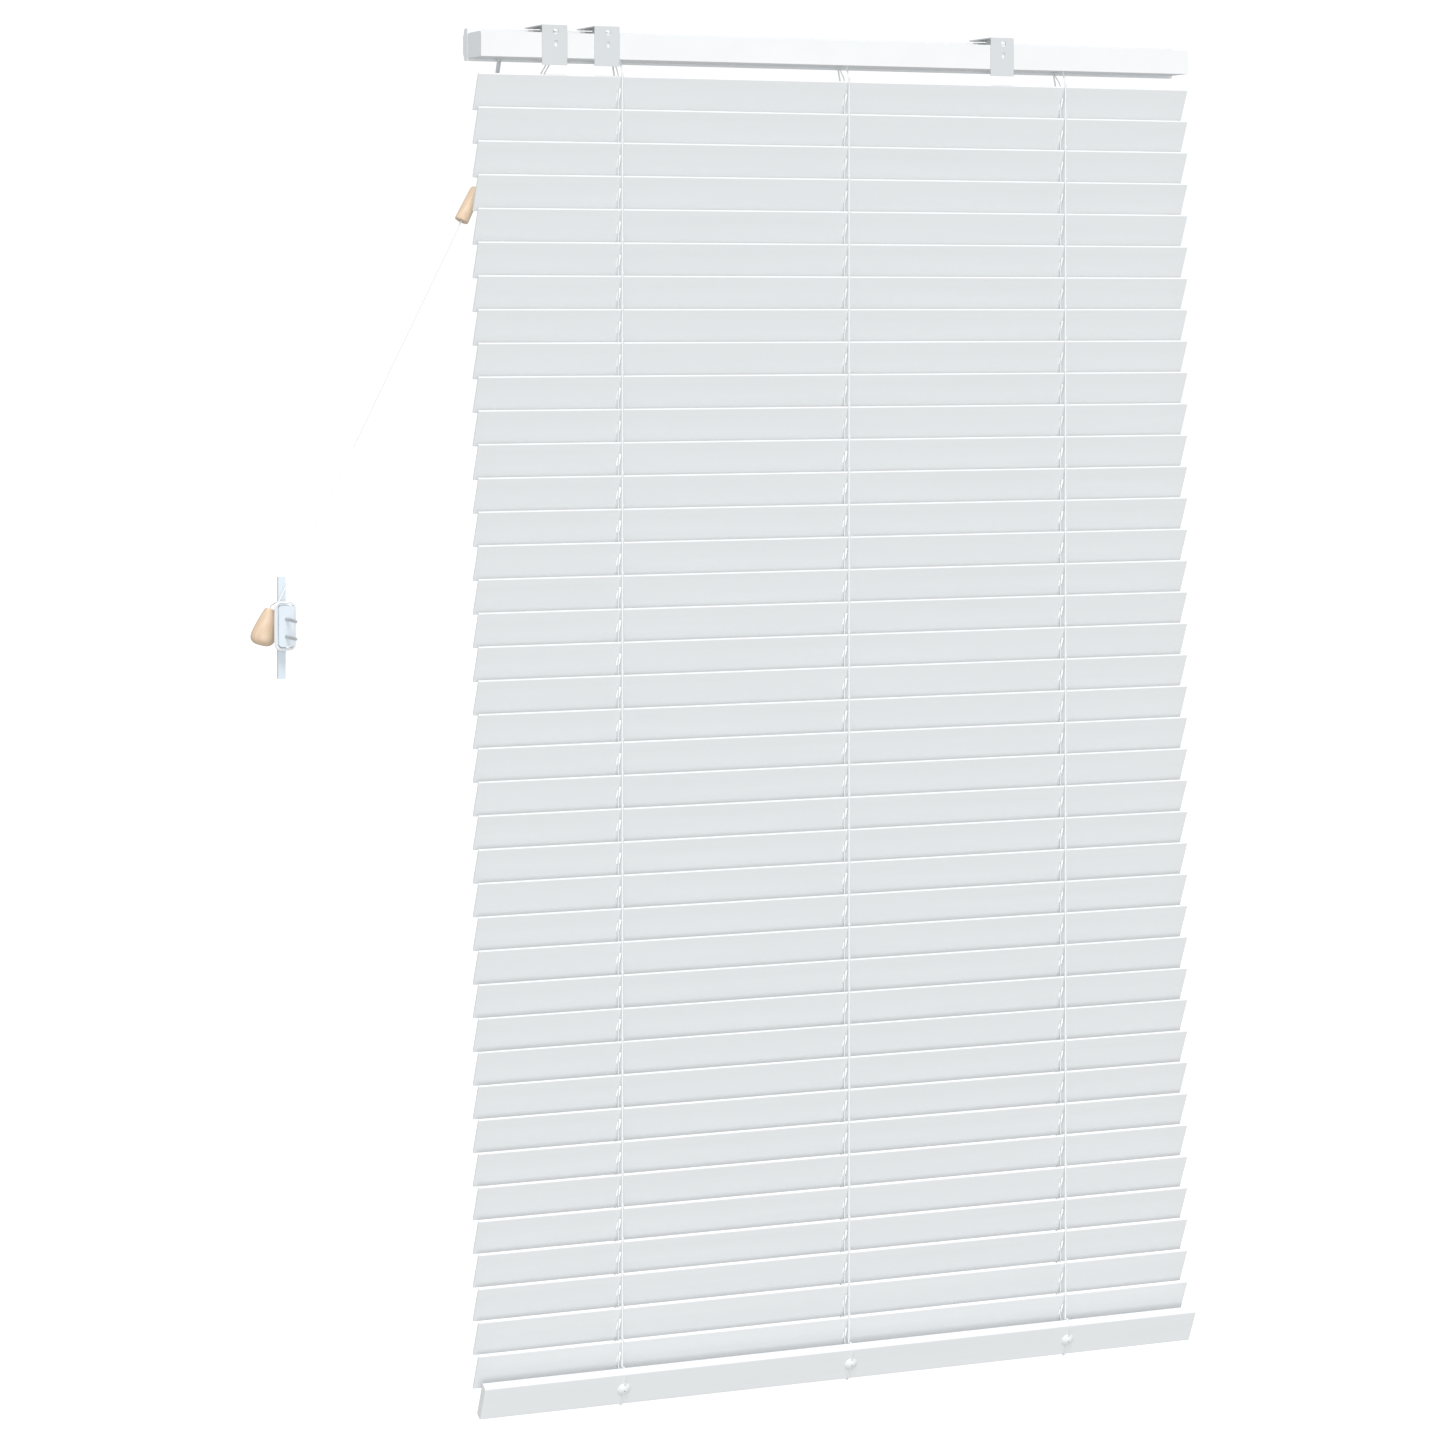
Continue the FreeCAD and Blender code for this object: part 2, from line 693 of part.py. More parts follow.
def pull_cords():
    strands = []
    for start, shift in zip(STRAND_EXITS, STRAND_SPREAD):
        run = JOINER_TOP + FreeCAD.Vector(*shift) - JOINER_LINE - FreeCAD.Vector(*start)
        strands.append(Part.makeCylinder(STRING * 0.8, run.Length, FreeCAD.Vector(*start), run))
    main_start = JOINER_END - JOINER_LINE * 11.5
    main_run = CORD_ON_CLEAT - main_start
    main = Part.makeCylinder(CORD, main_run.Length, main_start, main_run)
    tail = tube([(-358.8, 9.8, -705.4), (-358.8, 18, -706.4), (-356.8, 34, -709.8), (-358, 41, -710.6),
                 (-358.2, 41, -717)], CORD, "tail to the acorn")
    print("main cord: length %.1f" % main_run.Length)
    return soft("pull_cords", strands + [main, winding(), tail])


cord_joiner()
acorn()
pull_cords()


# Cleat: a rounded body on the wall with a bar of two horns, held by two screws

CLEAT_X = size("cleat_x")
CLEAT_Z = size("cleat_z")
SCREWS_Z = [size("screws_z") + side * size("screw_gap") / 2 for side in (-1, 1)]


def cleat():
    half_w = size("cleat_width") / 2
    body = box((CLEAT_X - half_w, 0, CLEAT_Z - size("cleat_height") / 2),
               "cleat_width", "cleat_depth", "cleat_height")
    body = round_edges(body, size("cleat_round"), runs_along(Y_AXIS))
    horn = box((CLEAT_X - size("horn_width") / 2, size("horn_y"), size("horn_z") - size("horn_height") / 2),
               "horn_width", "horn_thick", "horn_height")
    horn = round_edges(horn, size("horn_round"), runs_along(Y_AXIS))
    holes = [rod((CLEAT_X, -1, z), "screw_radius + 0.1", 40, ALONG_Y) for z in SCREWS_Z]
    seats = [rod((CLEAT_X, size("screw_seat"), z), "screw_head + 0.2", 10, ALONG_Y) for z in SCREWS_Z]
    return node(cut(join([body, horn]), holes + seats), "cleat")


def cleat_screw(z):
    """Wood screw: its thread stands out of the wall side, its smooth neck fills the cleat."""
    out = size("screw_out")
    thread = rod((CLEAT_X, -out, z), "screw_radius", "screw_out - 0.4", ALONG_Y)
    neck = rod((CLEAT_X, -1, z), "screw_neck", "screw_seat + 1.2", ALONG_Y)
    head = rod((CLEAT_X, size("screw_seat") + 0.1, z), "screw_head", 2.2, ALONG_Y)
    tip = doc.addObject("Part::Cone", "Tip")
    bind(tip, Radius1=0.3, Radius2="screw_radius", Height="screw_tip")
    place(tip, CLEAT_X, -out - size("screw_tip"), z, ALONG_Y)
    return join([thread, neck, head, tip])


cleat()
node(join([cleat_screw(z) for z in SCREWS_Z], "Part::Compound"), "cleat_screws")


# Bottom rail, with a button under each ladder

RAIL_CENTRE = FreeCAD.Vector(size("rail_left"), size("rail_y"), size("rail_z"))


def on_rail(x, y, z):
    """Point given in the rail's own axes, before its tilt, about its left end's centre."""
    return RAIL_CENTRE + TILTED.multVec(FreeCAD.Vector(x, y, z))


def bottom_rail():
    corner = on_rail(0, -size("rail_width") / 2, -size("rail_thick") / 2)
    bar = doc.addObject("Part::Box", "Bar")
    bind(bar, Length="rail_length", Width="rail_width", Height="rail_thick")
    place(bar, *corner, TILTED)
    bar = round_edges(bar, size("rail_round"), runs_along(X_AXIS))
    under = -size("rail_thick") / 2
    holes = [rod(on_rail(x - size("rail_left"), 0, under - 1), "button_hole", "button_depth + 1.5", TILTED)
             for x in LADDERS_X]
    return node(cut(bar, holes), "bottom_rail")


def rail_button(ladder_x):
    x = ladder_x - size("rail_left")
    under = -size("rail_thick") / 2
    radius = (size("button_radius") ** 2 + size("button_height") ** 2) / (2 * size("button_height"))
    ball = doc.addObject("Part::Sphere", "Ball")
    ball.Radius = radius
    place(ball, *on_rail(x, 0, under - size("button_height") + radius))
    disc = rod(on_rail(x, 0, under - size("button_height") - 0.1), "button_radius", "button_height", TILTED)
    dome = doc.addObject("Part::Common", "Dome")
    dome.Base = ball
    dome.Tool = disc
    stem = rod(on_rail(x, 0, under - 1), "button_stem", "button_depth + 1", TILTED)
    eyelet = rod(on_rail(x, 0, under - size("button_height") - 1), 1.2, 4, TILTED)
    return cut(join([dome, stem]), [eyelet])


bottom_rail()
node(join([rail_button(x) for x in LADDERS_X], "Part::Compound"), "rail_buttons")


# Check every object, then write the sub-parts

doc.recompute()
faults = [thing.Label for thing in doc.Objects if "Invalid" in thing.State or "Error" in thing.State]
for thing in nodes:
    if thing.Shape.isNull() or not thing.Shape.isValid() or thing.Shape.Volume <= 0:
        faults.append("shape of " + thing.Label)
if faults:
    raise RuntimeError("failed: " + ", ".join(faults))

os.makedirs("parts", exist_ok=True)
for thing in nodes:
    thing.Shape.exportStep("parts/%s.step" % thing.Label)
print("%d sub-parts written" % len(nodes))
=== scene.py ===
import math

import bpy
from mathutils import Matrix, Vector


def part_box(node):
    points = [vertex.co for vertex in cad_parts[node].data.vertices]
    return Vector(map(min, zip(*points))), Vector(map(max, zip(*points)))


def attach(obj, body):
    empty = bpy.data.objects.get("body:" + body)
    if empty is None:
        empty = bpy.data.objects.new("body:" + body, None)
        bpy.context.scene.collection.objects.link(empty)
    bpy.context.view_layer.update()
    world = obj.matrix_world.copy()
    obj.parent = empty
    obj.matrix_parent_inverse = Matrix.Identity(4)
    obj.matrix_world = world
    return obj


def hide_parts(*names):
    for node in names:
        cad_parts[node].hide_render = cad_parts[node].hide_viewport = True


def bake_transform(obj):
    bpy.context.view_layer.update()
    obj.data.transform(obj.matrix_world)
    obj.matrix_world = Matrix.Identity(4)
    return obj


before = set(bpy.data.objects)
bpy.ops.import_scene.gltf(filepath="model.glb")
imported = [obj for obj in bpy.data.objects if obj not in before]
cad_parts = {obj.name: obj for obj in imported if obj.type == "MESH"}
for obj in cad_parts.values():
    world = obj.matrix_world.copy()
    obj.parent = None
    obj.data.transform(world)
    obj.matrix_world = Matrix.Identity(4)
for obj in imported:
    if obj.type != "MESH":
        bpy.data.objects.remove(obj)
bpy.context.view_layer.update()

# All lengths are metres in the row's frame: +X along the headrail, +Y into the room, +Z up.
MM = 0.001
LADDERS_X = (0.091, 0.405, 0.719)
SLAT_COUNT = 39
SLAT_TILT = math.radians(65)

# Radii of the ladders' strings, the lift cords and pull strands, the rungs, and the pull cord
STRING = 1.1 * MM
LIFT = 0.75 * MM
RUNG = 0.5 * MM
CORD = 0.95 * MM

# Across a tilted slat: towards its wall edge, and out of its underside
ACROSS = Vector((0, -math.cos(SLAT_TILT), math.sin(SLAT_TILT)))
UNDER = Vector((0, -math.sin(SLAT_TILT), -math.cos(SLAT_TILT)))


# Camera: level, on the wall side, turned towards +X

LENS_MM = 99.9
SENSOR_MM = 36
CAMERA_SHIFT_Y = -0.2855
CAMERA_PLACE = (-1.740, -4.711, -0.3487)
CAMERA_TURN = math.radians(22.65)


def make_camera():
    data = bpy.data.cameras.new("camera")
    data.lens = LENS_MM
    data.sensor_width = SENSOR_MM
    data.shift_y = CAMERA_SHIFT_Y
    camera = bpy.data.objects.new("camera", data)
    bpy.context.scene.collection.objects.link(camera)
    camera.location = CAMERA_PLACE
    camera.rotation_euler = (math.pi / 2, 0, -CAMERA_TURN)
    bpy.context.scene.camera = camera


# Materials

class Nodes:
    """Node tree of a new material, with its shader."""

    def __init__(self, name):
        self.material = bpy.data.materials.new(name)
        self.material.use_nodes = True
        self.tree = self.material.node_tree
        self.shader = self.tree.nodes["Principled BSDF"]

    def add(self, kind, **values):
        node = self.tree.nodes.new(kind)
        for key, value in values.items():
            if hasattr(node, key):
                setattr(node, key, value)
            else:
                node.inputs[key.replace("_", " ")].default_value = value
        return node

    def link(self, source, output, target, socket):
        self.tree.links.new(source.outputs[output], target.inputs[socket])

    def set(self, **values):
        for key, value in values.items():
            self.shader.inputs[key.replace("_", " ")].default_value = value

    def coordinates(self, scale, turn=(0, 0, 0)):
        place = self.add("ShaderNodeTexCoord")
        mapping = self.add("ShaderNodeMapping")
        mapping.inputs["Scale"].default_value = scale
        mapping.inputs["Rotation"].default_value = turn
        self.link(place, "Object", mapping, "Vector")
        return mapping

    def noise(self, scale, detail=3.0, stretch=(1, 1, 1)):
        texture = self.add("ShaderNodeTexNoise", Scale=scale, Detail=detail)
        self.link(self.coordinates(stretch), "Vector", texture, "Vector")
        return texture

    def tones(self, texture, dark, light, low=0.3, high=0.7, output="Fac"):
        """Base colour that runs from dark to light with a texture."""
        ramp = self.add("ShaderNodeValToRGB")
        ramp.color_ramp.elements[0].position = low
        ramp.color_ramp.elements[1].position = high
        ramp.color_ramp.elements[0].color = (*dark, 1)
        ramp.color_ramp.elements[1].color = (*light, 1)
        self.link(texture, output, ramp, "Fac")
        self.link(ramp, "Color", self.shader, "Base Color")

    def roughness(self, texture, low, high, output="Fac"):
        spread = self.add("ShaderNodeMapRange")
        spread.inputs["To Min"].default_value = low
        spread.inputs["To Max"].default_value = high
        self.link(texture, output, spread, "Value")
        self.link(spread, "Result", self.shader, "Roughness")

    def bump(self, texture, distance, strength=1.0, output="Fac", under=None):
        relief = self.add("ShaderNodeBump", Strength=strength, Distance=distance)
        self.link(texture, output, relief, "Height")
        if under:
            self.link(under, "Normal", relief, "Normal")
        self.link(relief, "Normal", self.shader, "Normal")
        return relief


def shade(colour, factor):
    return tuple(channel * factor for channel in colour)


def painted_wood():
    """Satin white paint over fine grain that runs along X."""
    nodes = Nodes("painted_wood")
    white = (0.895, 0.912, 0.918)
    grain = nodes.noise(60, detail=5, stretch=(0.05, 1, 1))
    pores = nodes.noise(900, detail=2, stretch=(0.03, 1, 1))
    nodes.tones(grain, shade(white, 0.982), white)
    nodes.roughness(grain, 0.36, 0.46)
    grain_relief = nodes.bump(grain, 0.1 * MM, strength=0.35)
    nodes.bump(pores, 0.03 * MM, strength=0.5, under=grain_relief)
    nodes.set(Coat_Weight=0.12, Coat_Roughness=0.3)
    return nodes.material


def coated_steel(name, colour, rough):
    """Powder coat: even colour with a fine orange-peel relief."""
    nodes = Nodes(name)
    peel = nodes.noise(700, detail=2)
    cloud = nodes.noise(18, detail=3)
    nodes.tones(cloud, shade(colour, 0.975), colour)
    nodes.roughness(cloud, rough - 0.04, rough + 0.05)
    nodes.bump(peel, 0.04 * MM, strength=0.5)
    return nodes.material


def moulded(name, colour, rough, coat=0.0):
    """Moulded plastic with a fine spark-eroded texture and slight flow marks."""
    nodes = Nodes(name)
    texture = nodes.noise(1400, detail=2)
    flow = nodes.noise(45, detail=4, stretch=(1, 1, 0.3))
    nodes.tones(flow, shade(colour, 0.965), colour)
    nodes.roughness(flow, rough - 0.05, rough + 0.06)
    nodes.bump(texture, 0.02 * MM, strength=0.6)
    nodes.set(Coat_Weight=coat)
    return nodes.material


def clear_plastic():
    """Clear wand plastic with faint streaks along its length."""
    nodes = Nodes("clear_plastic")
    streaks = nodes.noise(120, detail=3, stretch=(1, 1, 0.04))
    nodes.tones(streaks, (0.86, 0.89, 0.90), (0.93, 0.95, 0.96))
    nodes.roughness(streaks, 0.05, 0.14)
    nodes.bump(streaks, 0.02 * MM, strength=0.3)
    nodes.set(Transmission_Weight=0.55, IOR=1.49)
    return nodes.material


def zinc():
    """Zinc plate with fine drawing marks."""
    nodes = Nodes("zinc_plate")
    marks = nodes.noise(400, detail=4, stretch=(1, 0.15, 1))
    nodes.tones(marks, (0.76, 0.79, 0.82), (0.92, 0.94, 0.96))
    nodes.roughness(marks, 0.24, 0.42)
    nodes.bump(marks, 0.02 * MM, strength=0.4)
    nodes.set(Metallic=1.0)
    return nodes.material


def beech():
    """Lacquered beech: pale rings and short dark flecks along the grain."""
    nodes = Nodes("beech")
    rings = nodes.add("ShaderNodeTexWave", Scale=55.0, Distortion=3.5, Detail=3.0, Detail_Scale=1.5)
    rings.wave_type = "RINGS"
    nodes.link(nodes.coordinates((1, 1, 0.12), (0, 0.25, 0)), "Vector", rings, "Vector")
    flecks = nodes.noise(800, detail=3, stretch=(1, 1, 0.12))
    nodes.tones(rings, (0.715, 0.54, 0.38), (0.76, 0.585, 0.42), low=0.1, high=0.9)
    nodes.roughness(flecks, 0.38, 0.52)
    nodes.bump(flecks, 0.06 * MM, strength=0.6)
    nodes.set(Coat_Weight=0.15, Coat_Roughness=0.35)
    return nodes.material


def braid(name):
    """Fine braided cord: two crossing sets of diagonal ridges, with painted shade in the grooves between
    them.
    """
    nodes = Nodes(name)
    waves = []
    for lean in (0.75, -0.75):
        wave = nodes.add("ShaderNodeTexWave", Scale=260.0, Distortion=1.2, Detail=1.0)
        wave.bands_direction = "Z"
        nodes.link(nodes.coordinates((1, 1, 1), (0, lean, 0)), "Vector", wave, "Vector")
        waves.append(wave)
    crossing = nodes.add("ShaderNodeMath", operation="MULTIPLY")
    for index, wave in enumerate(waves):
        nodes.link(wave, "Fac", crossing, index)
    # Darker colour where the ridges are low: painted shade in the grooves between the strands.
    nodes.tones(crossing, (0.84, 0.86, 0.87), (0.95, 0.96, 0.965), low=0.0, high=0.8, output="Value")
    nodes.roughness(crossing, 0.9, 0.75, output="Value")
    nodes.bump(crossing, 0.25 * MM, strength=0.7, output="Value")
    nodes.set(Sheen_Weight=0.25, Sheen_Roughness=0.5)
    return nodes.material


def dress(node, material):
    """Gives a CAD node its material."""
    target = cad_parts[node]
    if not target.material_slots:
        target.data.materials.append(material)
    for slot in target.material_slots:
        slot.material = material


# Making meshes and curves

def link_object(name, data, material):
    piece = bpy.data.objects.new(name, data)
    bpy.context.scene.collection.objects.link(piece)
    data.materials.append(material)
    return piece


def ring_faces(ring_count, sides, inwards=False):
    """Faces of a closed tube of rings; inwards turns them over, for rings that run the other way."""
    faces = []
    for ring in range(ring_count - 1):
        for step in range(sides):
            a = ring * sides + step
            b = ring * sides + (step + 1) % sides
            faces.append((a, a + sides, b + sides, b) if inwards else (a, b, b + sides, a + sides))
    first = list(range(sides))
    last = list(range((ring_count - 1) * sides, ring_count * sides))
    if inwards:
        return faces + [tuple(first), tuple(reversed(last))]
    return faces + [tuple(reversed(first)), tuple(last)]


def solid(name, verts, faces, material):
    """Object with smooth quads and flat caps."""
    mesh = bpy.data.meshes.new(name)
    mesh.from_pydata(verts, [], faces)
    for polygon in mesh.polygons:
        polygon.use_smooth = len(polygon.vertices) == 4
    return link_object(name, mesh, material)


def spline(name, points, radius, material):
    """Cord as a smooth NURBS line with a round section."""
    curve = bpy.data.curves.new(name, "CURVE")
    curve.dimensions = "3D"
    curve.bevel_depth = radius
    curve.bevel_resolution = 4
    curve.use_fill_caps = True
    curve.resolution_u = 8
    line = curve.splines.new("NURBS")
    line.points.add(len(points) - 1)
    for spot, point in zip(line.points, points):
        spot.co = (*point, 1)
    line.order_u = 3
    line.use_endpoint_u = True
    return link_object(name, curve, material)


def tube_rings(points, radius, sides):
    """Vertices and faces of a closed round tube through points."""
    spots = [Vector(point) for point in points]
    verts = []
    side = None
    for index, spot in enumerate(spots):
        ahead = spots[min(index + 1, len(spots) - 1)]
        behind = spots[max(index - 1, 0)]
        along = (ahead - behind).normalized()
        if side is None:
            side = along.orthogonal().normalized()
        side = (side - along * side.dot(along)).normalized()
        up = along.cross(side)
        for step in range(sides):
            angle = 2 * math.pi * step / sides
            verts.append(spot + (side * math.cos(angle) + up * math.sin(angle)) * radius)
    return verts, ring_faces(len(spots), sides)


def tubes(name, routes, radius, material, sides=10):
    """One mesh of several round tubes."""
    verts = []
    faces = []
    for route in routes:
        new_verts, new_faces = tube_rings(route, radius, sides)
        faces += [tuple(index + len(verts) for index in face) for face in new_faces]
        verts += new_verts
    return solid(name, verts, faces, material)


def smooth_route(points, parts=6):
    """Points along the smooth line that has these control points."""
    spots = [Vector(point) for point in points]
    route = [spots[0]]
    for before, corner, after in zip(spots, spots[1:], spots[2:]):
        start = (before + corner) / 2 if before is not spots[0] else before
        end = (corner + after) / 2 if after is not spots[-1] else after
        for part in range(1, parts + 1):
            t = part / parts
            route.append(start * (1 - t) ** 2 + corner * 2 * t * (1 - t) + end * t ** 2)
    return route


def lathe(name, outline, start, axis, material, sides=64):
    """Turned solid: outline of (along, radius) pairs, about an axis from start."""
    along = Vector(axis).normalized()
    side = along.orthogonal().normalized()
    up = along.cross(side)
    verts = []
    for distance, radius in outline:
        for step in range(sides):
            angle = 2 * math.pi * step / sides
            out = side * math.cos(angle) + up * math.sin(angle)
            verts.append(Vector(start) + along * distance + out * radius)
    return solid(name, verts, ring_faces(len(outline), sides), material)


# Pull side: three strands, the joiner, the cord to the cleat with its winding, and the acorn

JOINER_TOP = Vector((-0.0845, 0.058, -0.196))
CORD_ON_CLEAT = Vector((-0.3535, 0.0095, -0.699))
JOINER_LINE = (CORD_ON_CLEAT - JOINER_TOP).normalized()
JOINER_LENGTH = 0.047
CLEAT_CENTRE = Vector((-0.3492, 0, -0.734))
CLEAT_WIDTH = 0.0193
CLEAT_HEIGHT = 0.050
CLEAT_ROUND = 0.004
WINDING_SLACK = 0.0012
WINDING_PITCH = 2.0 * MM
WINDING_INNER = 1.1 * MM        # cord's centre off the cleat's body, first layer
WINDING_OUTER = 2.8 * MM        # and second layer
WINDING_FRONT_Y = 8.9 * MM
WINDING_BACK_Y = 2.9 * MM
LAYER_TURNS = 3
TURN_POINTS = 16
STRAIGHT = 12 * MM              # straight stretch at each end of a strand and of the cord
STRAND_EXITS = ((0.0066, 0.0425, -0.0325), (0.011, 0.0425, -0.0325), (0.0057, 0.0404, -0.0325))
STRAND_DEPTH = 2 * MM           # how far the strands and the cord reach into the joiner
CORD_DEPTH = 10 * MM
STRAND_SPREAD = ((-0.002, 0, 0), (0.002, 0, 0), (-0.0028, -0.0019, 0))
ACORN_TOP = Vector((-0.358, 0.041, -0.715))
TAIL = ((-0.3592, 0.0115, -0.7054), (-0.3588, 0.0180, -0.7064), (-0.3578, 0.0260, -0.7081),
        (-0.3568, 0.0340, -0.7098), (-0.3574, 0.0402, -0.7106), (-0.3581, 0.0412, -0.7128),
        (-0.3582, 0.0410, -0.7180))


def winding_turn(offset, y_start, y_step):
    """Points of one turn of cord about the cleat's body, from its upper left corner down and round."""
    corners = ((-1, 1), (-1, -1), (1, -1), (1, 1))
    corner_points = TURN_POINTS // len(corners)
    step = math.radians(90) / (corner_points - 1)
    radius = (CLEAT_ROUND + offset) / math.cos(step / 2)
    half_width = CLEAT_WIDTH / 2 - CLEAT_ROUND
    half_height = CLEAT_HEIGHT / 2 - CLEAT_ROUND + WINDING_SLACK
    points = []
    for number in range(TURN_POINTS):
        corner, place = divmod(number, corner_points)
        side_x, side_z = corners[corner]
        angle = math.radians(90) * (1 + corner) + step * place
        x = CLEAT_CENTRE.x + side_x * half_width + radius * math.cos(angle)
        z = CLEAT_CENTRE.z + side_z * half_height + radius * math.sin(angle)
        points.append((x, y_start + y_step * number / TURN_POINTS, z))
    return points


def pull_strands(material):
    """Three strands from the cord lock into the joiner."""
    pieces = []
    for number, (exit_point, shift) in enumerate(zip(STRAND_EXITS, STRAND_SPREAD), start=1):
        start = Vector(exit_point)
        end = JOINER_TOP + Vector(shift) + JOINER_LINE * STRAND_DEPTH
        along = (end - start).normalized()
        points = [start, start + along * STRAIGHT, end - along * STRAIGHT, end]
        piece = spline("pull_strand_%d" % number, points, LIFT, material)
        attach(piece, "headrail")
        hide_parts("pull_cords")
        pieces.append((piece, points))
    return pieces


def main_cord(material):
    """The cord from the joiner: down to the cleat, three turns inwards, three back over them, the tail."""
    start = JOINER_TOP + JOINER_LINE * (JOINER_LENGTH - CORD_DEPTH)
    before = CORD_ON_CLEAT - JOINER_LINE * STRAIGHT
    points = [start, start + JOINER_LINE * STRAIGHT, before]
    winding = []
    for turn in range(LAYER_TURNS):
        winding += winding_turn(WINDING_INNER, WINDING_FRONT_Y - WINDING_PITCH * turn, -WINDING_PITCH)
    for turn in range(LAYER_TURNS):
        winding += winding_turn(WINDING_OUTER, WINDING_BACK_Y + WINDING_PITCH * turn, WINDING_PITCH)
    winding += winding_turn(WINDING_OUTER, WINDING_BACK_Y + LAYER_TURNS * WINDING_PITCH, 0)[:1]
    points += winding[2:]
    points += TAIL
    piece = spline("pull_cord", points, CORD, material)
    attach(piece, "headrail")
    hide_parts("pull_cords")
    return piece, points


def joiner(material):
    """Turned beech joiner with rounded rims and a bored end."""
    length = JOINER_LENGTH
    outline = [(0, 3.4 * MM), (0, 5.2 * MM), (0.5 * MM, 6.2 * MM), (1.6 * MM, 7.0 * MM), (4 * MM, 7.5 * MM),
               (length * 0.5, 8.3 * MM), (length - 3 * MM, 8.95 * MM), (length - 1.1 * MM, 8.9 * MM),
               (length - 0.3 * MM, 8.5 * MM), (length, 7.9 * MM), (length, 3.6 * MM),
               (length - 0.6 * MM, 3.1 * MM), (length - 9.8 * MM, 3.0 * MM)]
    piece = lathe("joiner_turned", outline, JOINER_TOP, JOINER_LINE, material)
    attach(piece, "headrail")
    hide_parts("cord_joiner")
    return piece


def acorn(material):
    """Turned acorn: narrow shoulder at the cord, full and rounded at its foot."""
    lean = math.radians(15.3)
    axis = Vector((-math.sin(lean), 0, -math.cos(lean)))
    outline = [(along * MM, radius * MM) for along, radius in (
        (0.5, 1.2), (0.1, 2.4), (0, 4.6), (0.3, 5.9), (1.2, 6.7), (3, 7.4), (8, 9.0), (14, 10.9), (20, 12.5),
        (26, 13.9), (31, 14.9), (35, 15.4), (38.5, 15.3), (41.5, 14.2), (43.8, 12.2), (45.4, 9.6),
        (46.2, 6.8), (46.5, 4.0), (46.5, 1.2))]
    piece = lathe("acorn_turned", outline, ACORN_TOP, axis, material)
    smooth = piece.modifiers.new("rounding", "SUBSURF")
    smooth.levels = 1
    smooth.render_levels = 1
    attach(piece, "headrail")
    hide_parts("acorn")
    return piece


def cords():
    """Pull side's pieces."""
    cord = braid("braided_cord")
    wood = beech()
    turned_joiner = joiner(wood)
    turned_acorn = acorn(wood)
    for piece, points in pull_strands(cord):
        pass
    piece, points = main_cord(cord)


# Ladders: two strings and a lift cord at each, rungs under every slat, and their ends at the rail

SLAT_AXIS_Y = 17.9 * MM
WALL_Y = 4.8 * MM
ROOM_Y = 31.0 * MM
LIFT_Y = 18.9 * MM
WALL_TOP_Y = 14.7 * MM          # where the strings leave their drum
ROOM_TOP_Y = 40.7 * MM
DRUM_Z = -0.0175
DRUM_EXIT_Z = -0.034
LIFT_EXITS_Y = (33 * MM, 36 * MM, 39 * MM)
RUNG_SPREAD = 1.7 * MM
RUNG_PINCH = 0.3
RAIL_CENTRE = Vector((0, 5.8 * MM, -1706.1 * MM))
RAIL_HALF_WIDTH = 24 * MM
RAIL_HALF_THICK = 6.25 * MM
SLAT_HALF_THICK = 1.5 * MM
SLAT_HALF_WIDTH = 25 * MM
STRING_END_Z = -1.655
LIFT_END_Z = -1.682


def on_rail(along, out):
    """Point of the rail's section: along to its wall edge, out of its underside from its centre."""
    return RAIL_CENTRE + ACROSS * along + UNDER * out


def at_ladder(x, points):
    """Points (y, z) or (any x, y, z) moved to the ladder at x."""
    return [(x, *point[-2:]) for point in points]


def strings(material):
    """Both strings of each ladder and its lift cord, from the headrail to near the rail."""
    for number, (x, lift_exit) in enumerate(zip(LADDERS_X, LIFT_EXITS_Y), start=1):
        routes = {
            "wall_string": (STRING, [(WALL_TOP_Y, DRUM_Z), (WALL_TOP_Y, DRUM_EXIT_Z), (WALL_Y, -0.046),
                                     (WALL_Y, -0.060), (WALL_Y, STRING_END_Z)]),
            "room_string": (STRING, [(ROOM_TOP_Y, DRUM_Z), (ROOM_TOP_Y, DRUM_EXIT_Z), (ROOM_Y, -0.057),
                                     (ROOM_Y, -0.080), (ROOM_Y, STRING_END_Z)]),
            "lift_cord": (LIFT, [(lift_exit, -0.0310), (lift_exit, -0.0350), (LIFT_Y, -0.050),
                                 (LIFT_Y, -0.062), (LIFT_Y, LIFT_END_Z)]),
        }
        for name, (radius, points) in routes.items():
            piece = spline("%s_%d" % (name, number), at_ladder(x, points), radius, material)
            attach(piece, "headrail")
            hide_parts("ladder_and_lift_cords")


def rungs(material):
    """Two thin cords under every slat at each ladder, from the wall string to the room string."""
    reach = (SLAT_AXIS_Y - WALL_Y) / math.cos(SLAT_TILT)
    for number in range(1, SLAT_COUNT + 1):
        slat = "slat_%02d" % number
        low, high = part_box(slat)
        centre = Vector((0, (low.y + high.y) / 2, (low.z + high.z) / 2)) + UNDER * (SLAT_HALF_THICK + RUNG)
        routes = []
        for x in LADDERS_X:
            for side in (-RUNG_SPREAD, RUNG_SPREAD):
                beside = Vector((x + side, 0, 0))
                inwards = Vector((x + side * RUNG_PINCH, 0, 0))
                routes.append(smooth_route([
                    centre + inwards + ACROSS * reach, centre + beside + ACROSS * SLAT_HALF_WIDTH,
                    centre + beside, centre + beside - ACROSS * SLAT_HALF_WIDTH,
                    centre + inwards - ACROSS * reach], 4))
        piece = tubes("rungs_%02d" % number, routes, RUNG, material, sides=8)
        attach(piece, slat)
        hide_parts("ladder_and_lift_cords")


